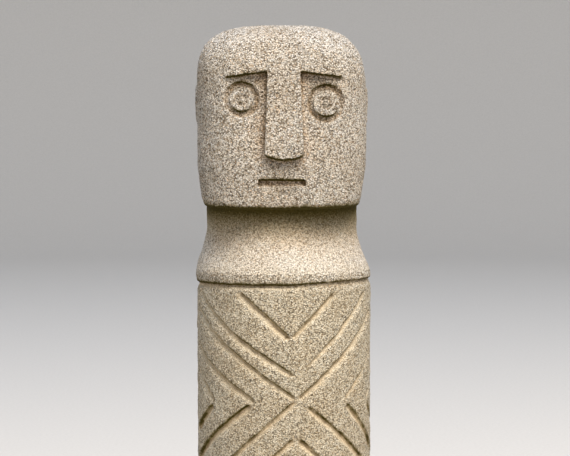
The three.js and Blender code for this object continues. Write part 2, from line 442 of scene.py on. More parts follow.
@dataclass
class Face:
    """Everything that is left standing on the head or cut into it."""

    brow_inner: tuple[float, float, float] = (10.7, 283.6, 4.5)
    brow_outer: tuple[float, float, float] = (33.5, 280.0, 0.7)
    cheek_fade: tuple[float, float, float] = (22.0, 240.0, 0.3)
    nose_root: float = 286.0
    nose_tip: float = 237.3
    nose_half: tuple[float, float] = (9.2, 11.1)
    nose_proud: float = 4.6
    nose_drop: float = 2.9
    mouth_x: tuple[float, float] = (-14.2, 12.3)
    mouth_z: tuple[float, float] = (219.8, 222.9)
    mouth_depth: float = 2.3
    eyes: tuple[Eye, Eye] = (Eye(-23.6, 267.8, 8.3, 2.5), Eye(23.5, 265.7, 9.0, 2.7))
    ring_cut: float = 1.65
    ring_sink: float = 0.5
    pupil_cut: float = 0.8
    ears: tuple[tuple[float, float, float], ...] = ((-47.6, 8.0, 265.0), (44.9, 12.0, 264.0))
    ear_size: tuple[float, float, float] = (7.0, 10.0, 24.0)
    ear_edge: float = 3.2
    sight: float = 200.0
    socket_overrun: float = 8.0
    socket_below: float = 12.0
    socket_clear: float = 15.0
    nose_lap: float = 1.0
    nose_root_proud: float = 0.1
    nose_bury: float = 16.0
    nose_bow: tuple[tuple[float, float], ...] = ((0.45, 0.82), (0.35, 0.72), (0.2, 0.5))
    mouth_clear: float = 8.0
    mouth_splay: tuple[float, float] = (-1.2, 0.36)
    ring_plane: float = 9.0
    ring_sides: int = 40
    ring_round: int = 8

    def on_face(self, head: bpy.types.Object, x: float, z: float, depth: float = 0.0) -> Vector:
        """Finds the front of the head by looking back at it along +Y.

        Args:
            head: The plain head.
            x: Across, in millimetres.
            z: Height, in millimetres.
            depth: How far under the surface the point lies, in millimetres.

        Returns:
            The point, in metres.
        """
        hit, place, _, _ = head.ray_cast(Vector((x, -self.sight, z)) * MM, Vector((0, 1, 0)))
        if not hit:
            raise ValueError(f"no stone at x {x}, z {z}")
        return place + Vector((0, depth * MM, 0))

    def socket_floor(self, head: bpy.types.Object, side: Side) -> Callable[[float, float], Vector]:
        """The flat floor of a socket: deepest at the root of the nose and running out over the cheek.

        Args:
            head: The plain head.
            side: Which eye's socket.

        Returns:
            A function from x and z in millimetres to the point of the floor there, in metres.
        """
        points = [
            self.on_face(head, side.value * x, z, depth)
            for x, z, depth in (self.brow_inner, self.brow_outer, self.cheek_fade)
        ]
        normal = (points[1] - points[0]).cross(points[2] - points[0]).normalized()

        def floor(x: float, z: float) -> Vector:
            """Finds the floor's point at x and z.

            Args:
                x: Across, in millimetres.
                z: Height, in millimetres.

            Returns:
                The point, in metres.
            """
            place = Vector((x * MM, 0, z * MM))
            place.y = -(normal.x * (place.x - points[0].x) + normal.z * (place.z - points[0].z)) / normal.y
            place.y += points[0].y
            return place

        return floor

    def socket(self, head: bpy.types.Object, side: Side) -> bpy.types.Object:
        """The flat chisel's cut for one socket.

        Args:
            head: The plain head.
            side: Which eye's socket.

        Returns:
            The cutter.
        """
        floor = self.socket_floor(head, side)
        inner_x, brow_z, _ = self.brow_inner
        outer_x, outer_z, _ = self.brow_outer
        far_x = outer_x + self.socket_overrun
        fall = (brow_z - outer_z) / (outer_x - inner_x)
        near_x = self.nose_half[0] - self.nose_lap
        corners = {}
        for inner, x in ((True, near_x), (False, far_x)):
            high = brow_z if inner else outer_z - fall * (far_x - outer_x)
            for up, z in ((1, high), (-1, self.nose_tip - self.socket_below)):
                across = side.value * (-1 if inner else 1)
                place = floor(side.value * x, z)
                corners[(across, 1, up)] = place
                corners[(across, -1, up)] = place + Vector((0, -self.socket_clear * MM, 0))
        return box_between(f"socket_{side.name.lower()}", corners)

    def nose(self, head: bpy.types.Object) -> bpy.types.Object:
        """The bar of the nose, flush with the forehead at its root and bowed along its lower edge.

        Args:
            head: The plain head.

        Returns:
            The nose as a closed block whose back is buried in the head.
        """
        root_half, tip_half = self.nose_half
        corners = {}
        for across in (-1, 1):
            root = self.on_face(head, across * root_half, self.nose_root, -self.nose_root_proud)
            tip = self.on_face(head, 0, self.nose_tip, -self.nose_proud)
            tip.x = across * tip_half * MM
            for back in (-1, 1):
                behind = Vector((0, self.nose_bury * MM if back > 0 else 0, 0))
                corners[(across, back, 1)] = root + behind
                corners[(across, back, -1)] = tip + behind
        block = box_between("nose", corners)
        edit(block)
        pick_vertices(block, lambda co: co.z < (self.nose_tip + 1) * MM)
        for drop, width in self.nose_bow:
            down = (0, 0, -self.nose_drop * drop * MM)
            bpy.ops.mesh.extrude_region_move(TRANSFORM_OT_translate={"value": down})
            bpy.ops.transform.resize(value=(width, 1, 1), center_override=(0, 0, 0))
        return close_edit(block)

    def mouth(self, head: bpy.types.Object) -> bpy.types.Object:
        """The slit of the mouth, with a shallow lower wall.

        Args:
            head: The plain head.

        Returns:
            The cutter.
        """
        corners = {}
        front = self.on_face(head, 0, self.mouth_z[0])
        for across, x in zip((-1, 1), self.mouth_x):
            for up, z, splay in zip((-1, 1), self.mouth_z, self.mouth_splay):
                floor = Vector((x * MM, front.y + self.mouth_depth * MM, z * MM))
                corners[(across, 1, up)] = floor
                corners[(across, -1, up)] = floor + Vector((0, -self.mouth_clear, splay)) * MM
        return box_between("mouth", corners)

    def ring(self, place: Vector, normal: Vector, radius: float, cut: float) -> bpy.types.Object:
        """The round cut of an eye's ring or its pupil.

        Args:
            place: The centre, on the socket's floor.
            normal: The floor's outward normal.
            radius: The ring's radius, in millimetres.
            cut: Half of the cut's width, in millimetres.

        Returns:
            The cutter.
        """
        clear_selection()
        bpy.ops.mesh.primitive_torus_add(
            major_radius=radius * MM,
            minor_radius=cut * MM,
            major_segments=self.ring_sides,
            minor_segments=self.ring_round,
            location=place,
            rotation=normal.to_track_quat("Z", "Y").to_euler(),
        )
        tool = bpy.context.object
        edit(tool)
        return close_edit(tool, "ring_cut")

    def ear(self, place: Sequence[float]) -> bpy.types.Object:
        """A low ear: an upright block, chamfered all round, that is half buried in the side of the head.

        Args:
            place: The ear's centre, in millimetres.

        Returns:
            The ear as a closed block.
        """
        clear_selection()
        bpy.ops.mesh.primitive_cube_add(size=1, location=Vector(place) * MM)
        ear = bpy.context.object
        edit(ear)
        size = tuple(length * MM for length in self.ear_size)
        bpy.ops.transform.resize(value=size, center_override=tuple(Vector(place) * MM))
        bpy.ops.mesh.bevel(offset=self.ear_edge * MM, segments=3, profile=0.5, affect="EDGES")
        return close_edit(ear, "ear")

    def build(self, head: bpy.types.Object) -> None:
        """Carves the face into the plain head.

        Args:
            head: The plain head, which is changed.
        """
        floors = {side: self.socket_floor(head, side) for side in Side}
        sockets = [self.socket(head, side) for side in Side]
        nose = self.nose(head)
        mouth = self.mouth(head)
        for tool in sockets:
            cut_or_join(head, tool, "DIFFERENCE")
        cut_or_join(head, nose, "UNION")
        for place in self.ears:
            cut_or_join(head, self.ear(place), "UNION")
        cut_or_join(head, mouth, "DIFFERENCE")
        for eye in self.eyes:
            floor = floors[Side.LEFT if eye.x > 0 else Side.RIGHT]
            centre = floor(eye.x, eye.z)
            up = floor(eye.x, eye.z + self.ring_plane) - centre
            across = floor(eye.x - self.ring_plane, eye.z) - centre
            normal = up.cross(across).normalized()
            if normal.y > 0:
                normal.negate()
            centre -= normal * self.ring_sink * MM
            cut_or_join(head, self.ring(centre, normal, eye.ring, self.ring_cut), "DIFFERENCE")
            cut_or_join(head, self.ring(centre, normal, eye.pupil, self.pupil_cut), "DIFFERENCE")


# ---------------------------------------------------------------- the post's carving


@dataclass(frozen=True)
class Stroke:
    """One pull of the chisel across the post, in degrees round it from the front and millimetres up it."""

    angle: float
    z: float
    to_angle: float
    to_z: float
    bow: float = 0.0
    weight: float = 1.0


@dataclass
class Carving:
    """The lozenges cut round the post, between a ring groove under the shoulder and one above the foot."""

    radius: float = 49.9
    centre: float = 9.0
    crossing: float = 99.0
    upper_ring: float = 163.0
    lower_ring: float = 35.0
    ring_lean: float = 1.15
    margin: float = 2.6
    chisel: float = 4.1
    lift: float = 1.75
    opening: float = 1.65
    tilt: float = 20.0
    step: float = 4.5
    min_steps: int = 4
    taper: float = 5.5
    waver: float = 0.22
    back_slope: float = 0.7
    lead_out: float = 0.35
    lift_waver: float = 0.6
    lift_clear: float = 1.2
    ring_step: int = 6
    ring_lift: float = 0.2
    ring_weight: float = 0.95
    ring_waves: int = 3
    chevron_rise: float = 17.0
    chevron_drop: float = 19.0
    side_points: tuple[float, float] = (30.0, 62.0)
    panel_half: float = 90.0
    seed: int = 7

    def front_strokes(self) -> list[Stroke]:
        """Plans the front panel.

        Returns:
            Its strokes, each with the lean and bow that the carver's hand gave it.
        """
        top = self.upper_ring - self.margin
        low = self.lower_ring + self.margin
        return [
            # The crossing: two strokes that run through it, and a fourth arm that starts just short of it.
            Stroke(-80, 150.5, 10.5, 97.6),
            Stroke(80, 149.0, 7.5, 98.0),
            Stroke(11.5, 101.2, -74, 36, weight=0.97),
            Stroke(12.5, 97.0, 97, 39),
            # The chevrons above it.
            Stroke(-78, top + 1, 8.8, 111.2, bow=-1.6),
            Stroke(70, top, 13.5, 116.2, weight=0.92),
            Stroke(-34, top + 1, 5.4, 131.6, weight=1.1),
            Stroke(38, top + 1, 3.6, 132.0, weight=0.97),
            # The chevrons below it.
            Stroke(9.4, 79.4, -42, low),
            Stroke(6.6, 79.4, 57, low),
            Stroke(7.4, 60.0, -21, low - 1),
            Stroke(4.6, 60.0, 33, low - 1),
            # The lozenge on the figure's right side.
            Stroke(-16.8, 96.8, -83, 129.5),
            Stroke(-19, 97.8, -83, 58.5, weight=1.1),
            Stroke(-50.5, 95.0, -83, 116),
            Stroke(-51, 96.0, -83, 76, weight=1.1),
            # The lozenge on its left side.
            Stroke(41.4, 97.2, 101, 140, weight=0.85),
            Stroke(42, 97.4, 101, 55),
            Stroke(69, 95.2, 101, 116.5, weight=0.88),
            Stroke(70, 96.5, 101, 75),
        ]

    def back_strokes(self) -> list[Stroke]:
        """Plans the back panel: the same lozenges, evener and plainer.

        Returns:
            Its strokes.
        """
        mid, slope = self.centre + 180, self.back_slope
        top = self.upper_ring - self.margin
        low = self.lower_ring + self.margin
        strokes = []
        for way in (-1, 1):
            for point in (self.crossing, self.crossing + self.chevron_rise):
                run = min((top - point) / slope, self.panel_half)
                strokes.append(Stroke(mid + way * run, point + run * slope, mid, point))
            for point in (self.crossing, self.crossing - self.chevron_drop):
                run = min((point - low) / slope, self.panel_half)
                strokes.append(Stroke(mid, point, mid + way * run, point - run * slope))
            for step in self.side_points:
                run = self.panel_half - step
                for up in (-1, 1):
                    end = self.crossing + up * run * slope
                    far = mid + way * self.panel_half
                    strokes.append(Stroke(mid + way * step, self.crossing, far, end))
        return strokes

    def place(self, angle: float, z: float, sink: float) -> Vector:
        """A point in front of the post, in metres.

        Args:
            angle: Degrees round the post from the front.
            z: Height, in millimetres.
            sink: How far the chisel's middle is outside the post's skin, in millimetres.

        Returns:
            The point.
        """
        a, r = math.radians(angle), self.radius + sink
        return Vector((r * math.sin(a), -r * math.cos(a), z)) * MM

    def pull(self, path: Sequence[tuple[float, float, float]], weight: float) -> bpy.types.Object:
        """Pulls the chisel's three-sided blade along a path, and so makes the shape it takes out.

        Args:
            path: Angle in degrees, height and lift in millimetres, from one end to the other.
            weight: The blade's size against the usual one.

        Returns:
            The cutter.
        """
        first, second = self.place(*path[0]), self.place(*path[1])
        along = (second - first).normalized()
        out = Vector((first.x, first.y, 0)).normalized()
        across = out.cross(along).normalized()
        if across.z < 0:
            across.negate()
        tilt = math.radians(self.tilt)
        point = (-out * math.cos(tilt) + across * math.sin(tilt)).normalized()
        wide = point.cross(along).normalized()
        frame = Matrix((wide, point, wide.cross(point))).transposed().to_euler()
        clear_selection()
        bpy.ops.mesh.primitive_circle_add(
            vertices=3, radius=self.chisel * weight * MM, fill_type="NGON", location=first, rotation=frame
        )
        tool = bpy.context.object
        edit(tool)
        bpy.ops.transform.resize(
            value=(self.opening, 1, 1), orient_type="LOCAL", center_override=tuple(first)
        )
        for last, here in zip(path, path[1:]):
            start, end = self.place(*last), self.place(*here)
            bpy.ops.mesh.extrude_region_move(TRANSFORM_OT_translate={"value": end - start})
            turn(math.radians(here[0] - last[0]), "Z", end)
        return close_edit(tool, "stroke")

    def path_of(self, stroke: Stroke, hand: random.Random) -> list[tuple[float, float, float]]:
        """The path of a stroke: straight but for its bow and the hand's waver, lifting out at both ends.

        Args:
            stroke: The stroke.
            hand: The source of the waver.

        Returns:
            Angle, height and lift at each step.
        """
        arc = math.radians(stroke.to_angle - stroke.angle) * self.radius
        length = math.hypot(arc, stroke.to_z - stroke.z)
        steps = max(self.min_steps, round(length / self.step))
        clear = self.chisel * self.lift_clear
        path = []
        for i in range(steps + 1):
            t = i / steps
            ends = min(t, 1 - t) * length
            out = clear * (1 - ease(-self.lead_out * self.taper, self.taper, ends))
            z = blend(stroke.z, stroke.to_z, t) + stroke.bow * math.sin(math.pi * t)
            angle = blend(stroke.angle, stroke.to_angle, t)
            wobble = self.waver * math.sin(math.pi * t)
            z += hand.gauss(0, 1) * wobble
            path.append((angle, z, self.lift + out + hand.gauss(0, self.lift_waver) * wobble))
        return path

    def ring_path(self, z: float, lean: float, hand: random.Random) -> list[tuple[float, float, float]]:
        """The path of a ring groove, a little more than once round so that its ends overlap.

        Args:
            z: Its height, in millimetres.
            lean: How far it leans sideways, in millimetres at the post's skin.
            hand: The source of the waver.

        Returns:
            Angle, height and lift at each step.
        """
        turns = [hand.uniform(0, 2 * math.pi) for _ in range(self.ring_waves)]
        path = []
        for angle in range(-180, 180 + self.ring_step + 1, self.ring_step):
            a = math.radians(angle)
            waver = sum(math.sin((i + 2) * a + phase) for i, phase in enumerate(turns)) * self.waver
            path.append((angle, z + lean * math.sin(a) + waver, self.lift + self.ring_lift))
        return path

    def build(self, stone: bpy.types.Object) -> int:
        """Cuts every groove into the post.

        Args:
            stone: The stone, which is changed.

        Returns:
            How many grooves were cut.
        """
        hand = random.Random(self.seed)
        strokes = self.front_strokes() + self.back_strokes()
        for stroke in strokes:
            cut_or_join(stone, self.pull(self.path_of(stroke, hand), stroke.weight), "DIFFERENCE")
        for z, lean in ((self.upper_ring, self.ring_lean), (self.lower_ring, 0.0)):
            path = self.ring_path(z, lean, hand)
            half = len(path) // 2
            for part in (path[: half + 1], path[half:]):
                cut_or_join(stone, self.pull(part, self.ring_weight), "DIFFERENCE")
        return len(strokes) + 2


# ---------------------------------------------------------------- the worn surface


class Grain(Enum):
    """Where the stone's surface was left rough from the pick and where a tool smoothed it."""

    HEAD = 1.0
    RIM = 0.95
    PANEL = 0.85
    NECK = 0.6
    TOOLED = 0.2


@dataclass(frozen=True)
class Wear:
    """One kind of unevenness: its features' size, how deep it goes and how much of it lies inwards."""

    name: str
    size: float
    depth: float
    level: float
    detail: int = 1
    basis: str = "BLENDER_ORIGINAL"
    only_rough: bool = True

    def apply(self, stone: bpy.types.Object) -> None:
        """Pushes the stone's skin in and out by a cloudy pattern.

        Args:
            stone: The stone, which is changed. Its vertex group "rough" says where it was left rough.
        """
        pattern = bpy.data.textures.new(self.name, "CLOUDS")
        pattern.noise_scale = self.size * MM
        pattern.noise_depth = self.detail
        pattern.noise_basis = self.basis
        apply_modifier(
            stone,
            "DISPLACE",
            texture=pattern,
            strength=self.depth * MM,
            mid_level=self.level,
            vertex_group="rough" if self.only_rough else "",
        )


@dataclass
class Surface:
    """The stone's skin: the unevenness, pits and grain that picking and weather left."""

    voxel: float = 0.56
    grid_limit: int = 196_000
    post_radius: float = 49.9
    rings: tuple[float, float] = (35.0, 163.0)
    shoulder: float = 170.5
    chin: float = 206.0
    groove_skin: float = 0.35
    wears: tuple[Wear, ...] = (
        Wear("swell", 24.0, 0.9, 0.7, detail=2, only_rough=False),
        Wear("dents", 7.0, 0.5, 0.6, only_rough=False),
        Wear("pits", 2.1, 0.42, 0.62, detail=2, basis="VORONOI_F1"),
        Wear("grit", 1.3, 0.45, 0.6),
    )
    underside: float = 0.0
    saw_error: float = 1e-7

    def roughness(self, places: np.ndarray, skin: float) -> np.ndarray:
        """How rough the stone was left at each place.

        Args:
            places: Points in millimetres, one a row.
            skin: How far under the post's skin a point must lie to be in a groove, in millimetres.

        Returns:
            A share from 0 to 1 for each point.
        """
        x, y, z = places.T
        depth = self.post_radius - np.hypot(x, y)
        share = np.full(len(z), Grain.HEAD.value)
        share[z < self.chin] = Grain.NECK.value
        share[z < self.shoulder] = Grain.RIM.value
        on_post = z < self.rings[1]
        share[on_post] = Grain.PANEL.value
        share[on_post & (depth > skin)] = Grain.TOOLED.value
        return share

    def mark_roughness(self, stone: bpy.types.Object) -> None:
        """Gives the stone a vertex group that holds how rough it is.

        Args:
            stone: The stone.
        """
        places = vertex_places(stone) / MM
        share = self.roughness(places, self.groove_skin)
        group = stone.vertex_groups.new(name="rough")
        for value in np.unique(share):
            group.add(np.flatnonzero(share == value).tolist(), float(value), "REPLACE")

    def build(self, stone: bpy.types.Object) -> None:
        """Turns the carved block into weathered stone.

        Args:
            stone: The stone, which is changed.
        """
        apply_modifier(stone, "REMESH", mode="VOXEL", voxel_size=self.voxel * MM, use_smooth_shade=True)
        apply_modifier(stone, "SMOOTH", factor=0.5, iterations=1)
        self.mark_roughness(stone)
        for wear in self.wears:
            wear.apply(stone)
        self.thin(stone)
        self.drop_chips(stone)
        self.saw_flat(stone)

    def drop_chips(self, stone: bpy.types.Object) -> None:
        """Deletes every loose chip, which is whatever hangs together with no part of the crown.

        Args:
            stone: The stone, which is changed.
        """
        edit(stone)
        crown = max(vertex.co.z for vertex in stone.data.vertices) - self.voxel * MM
        pick_vertices(stone, lambda co: co.z > crown)
        bpy.ops.mesh.select_linked()
        bpy.ops.mesh.select_all(action="INVERT")
        bpy.ops.mesh.delete(type="VERT")
        bpy.ops.object.mode_set(mode="OBJECT")

    def saw_flat(self, stone: bpy.types.Object) -> None:
        """Saws the underside flat.

        Args:
            stone: The stone, which is changed.
        """
        edit(stone)
        bpy.ops.mesh.bisect(
            plane_co=(0, 0, self.underside * MM),
            plane_no=(0, 0, -1),
            use_fill=True,
            clear_outer=True,
            threshold=self.saw_error,
        )
        bpy.ops.object.mode_set(mode="OBJECT")

    def thin(self, stone: bpy.types.Object) -> None:
        """Takes out triangles where the surface is smooth, until the mesh is light enough.

        Args:
            stone: The stone, which is changed.
        """
        apply_modifier(stone, "TRIANGULATE")
        share = self.grid_limit / len(stone.data.polygons)
        if share < 1:
            apply_modifier(stone, "DECIMATE", ratio=share)


def vertex_places(piece: bpy.types.Object) -> np.ndarray:
    """The places of a mesh's vertices, in metres, one a row."""
    flat = np.empty(len(piece.data.vertices) * 3)
    piece.data.vertices.foreach_get("co", flat)
    return flat.reshape(-1, 3)


@dataclass
class Weathering:
    """What the finish reads: how hollow, how tooled and how coarse the stone is at each vertex."""

    surface: Surface
    post: Post
    crease_rounds: int = 7
    facing_rounds: int = 3
    hollow_rounds: int = 90
    crease_full: float = 0.7
    hollow_full: float = 2.6
    hollow_start: float = -0.3
    # These set where the painted shadow and mossy growth go under the ledges and the chin.
    shade_and_shelter_edge: float = 0.25
    shade_and_shelter_range: float = 0.3
    chin_film: tuple[float, float] = (184.0, 207.0)
    chin_fade: float = 1.5
    chin_reach: float = 1.06
    tooled_skin: float = 1.0
    groove_floor: tuple[float, float] = (0.9, 1.6)
    ring_margin: float = 3.0
    soil_fade: tuple[float, float] = (160.0, 176.0)

    def averaged(self, stone: bpy.types.Object, values: np.ndarray, rounds: int) -> np.ndarray:
        """Averages values over each vertex's neighbours, again and again.

        Args:
            stone: The stone.
            values: One row of numbers for each vertex.
            rounds: How many times, which sets how wide the average reaches.

        Returns:
            The averaged rows.
        """
        mesh = stone.data
        ends = np.empty(len(mesh.edges) * 2, dtype=np.int64)
        mesh.edges.foreach_get("vertices", ends)
        a, b = ends.reshape(-1, 2).T
        count = len(mesh.vertices)
        near = np.bincount(a, minlength=count) + np.bincount(b, minlength=count)
        for _ in range(rounds):
            columns = [
                np.bincount(a, column[b], count) + np.bincount(b, column[a], count) for column in values.T
            ]
            values = (values + np.stack(columns, axis=1) / near[:, None]) / 2
        return values

    def shaded_and_sheltered(self, places: np.ndarray, facing: np.ndarray) -> np.ndarray:
        """Where painted shadow and mossy growth go: on what faces down and on the neck close under the
        chin.

        Args:
            places: The vertices' places, in millimetres.
            facing: How far each faces up, from -1 to 1, averaged over its neighbours.

        Returns:
            A share from 0 to 1 for each vertex.
        """
        x, y, z = places.T
        post = self.post
        across = (x - post.shift) / post.neck_side
        along = y / np.where(y < 0, post.neck_front, post.neck_back)
        on_neck = (np.hypot(across, along) < self.chin_reach) & (z > post.ring) & (z < post.neck_top)
        start, full = self.chin_film
        under_chin = np.clip((z - start) / (full - start), 0, 1) ** self.chin_fade
        # Painted shadow: whatever faces down gets it.
        under_ledges = np.clip((-facing - self.shade_and_shelter_edge) / self.shade_and_shelter_range, 0, 1)
        return np.maximum(under_ledges, np.where(on_neck, under_chin, 0))

    def store(self, stone: bpy.types.Object, name: str, values: np.ndarray) -> None:
        """Writes one share for each vertex under a name that a material can read.

        Args:
            stone: The stone.
            name: The attribute's name.
            values: The shares, which are cut off at 0 and 1.
        """
        attribute = stone.data.attributes.new(name, "FLOAT", "POINT")
        attribute.data.foreach_set("value", np.clip(values, 0, 1).astype(np.float32))

    def build(self, stone: bpy.types.Object) -> None:
        """Measures the stone and stores what its finish reads.

        Args:
            stone: The stone.
        """
        places = vertex_places(stone) / MM
        rough = self.surface.roughness(places, self.tooled_skin)
        normals = np.empty(len(places) * 3)
        stone.data.vertices.foreach_get("normal", normals)
        normals = normals.reshape(-1, 3)
        crease, hollow = (
            np.einsum("ij,ij->i", self.averaged(stone, places, rounds) - places, normals)
            for rounds in (self.crease_rounds, self.hollow_rounds)
        )
        facing = self.averaged(stone, normals[:, 2:], self.facing_rounds)[:, 0]
        # Crease and hollow set where the dirt and the painted shade go.
        self.store(stone, "crease", crease / self.crease_full)
        self.store(stone, "hollow", (hollow - self.hollow_start) / self.hollow_full)
        self.store(stone, "coarse", rough)
        # The mask of the painted shadow and mossy growth under the ledges and the chin.
        self.store(stone, "shaded_and_sheltered", self.shaded_and_sheltered(places, facing))
        z = places[:, 2]
        low, high = self.surface.rings
        carved = (z > low - self.ring_margin) & (z < high + self.ring_margin)
        depth = self.surface.post_radius - np.hypot(places[:, 0], places[:, 1])
        skin, full = self.groove_floor
        self.store(stone, "tooled", np.where(carved, (depth - skin) / (full - skin), 0))
        clean, soiled = self.soil_fade[1], self.soil_fade[0]
        self.store(stone, "soiled", (clean - z) / (clean - soiled))


# ---------------------------------------------------------------- finishes


OVER = {"data_type": "RGBA", "blend_type": "MIX"}
TIMES = {"data_type": "RGBA", "blend_type": "MULTIPLY"}
Stops = tuple[tuple[float, str], ...]


def linear(code: str) -> tuple[float, float, float, float]:
    """An sRGB hex colour as linear light.

    Args:
        code: Six hex digits.

    Returns:
        Red, green, blue and an alpha of one.
    """
    values = [int(code[i : i + 2], 16) / 255 for i in (0, 2, 4)]
    return (*[v / 12.92 if v <= 0.04045 else ((v + 0.055) / 1.055) ** 2.4 for v in values], 1.0)


def add_node(
    material: bpy.types.Material,
    kind: str,
    links: dict[int | str, object] | None = None,
    **settings: object,
) -> bpy.types.Node:
    """Adds one node to a material, sets it and links its inputs.

    Args:
        material: The material.
        kind: The node's type.
        links: For each input, by name or number, a socket to link or a value to set.
        **settings: The node's own properties.

    Returns:
        The node.
    """
    tree = material.node_tree
    node = tree.nodes.new(kind)
    for key, value in settings.items():
        setattr(node, key, value)
    for key, source in (links or {}).items():
        if isinstance(source, bpy.types.NodeSocket):
            tree.links.new(source, node.inputs[key])
        else:
            node.inputs[key].default_value = source
    return node


def set_stops(node: bpy.types.Node, stops: Stops) -> None:
    """Sets a colour ramp's stops.

    Args:
        node: The colour ramp.
        stops: Each stop's place from 0 to 1 and its sRGB colour.
    """
    elements = node.color_ramp.elements
    for i, (place, code) in enumerate(stops):
        element = elements[i] if i < len(elements) else elements.new(place)
        element.position = place
        element.color = linear(code)


def empty_material(name: str) -> bpy.types.Material:
    """Makes a material with no nodes in it yet.

    Args:
        name: Its name.

    Returns:
        The material.
    """
    material = bpy.data.materials.new(name)
    material.use_nodes = True
    material.node_tree.nodes.clear()
    return material


@dataclass(frozen=True)
class GrainPattern:
    """The sockets that the stone's colour and its relief are both made from."""

    place: bpy.types.NodeSocket
    shade: bpy.types.NodeSocket
    dome: bpy.types.NodeSocket
    pitted: bpy.types.NodeSocket
    marks: dict[str, bpy.types.NodeSocket]


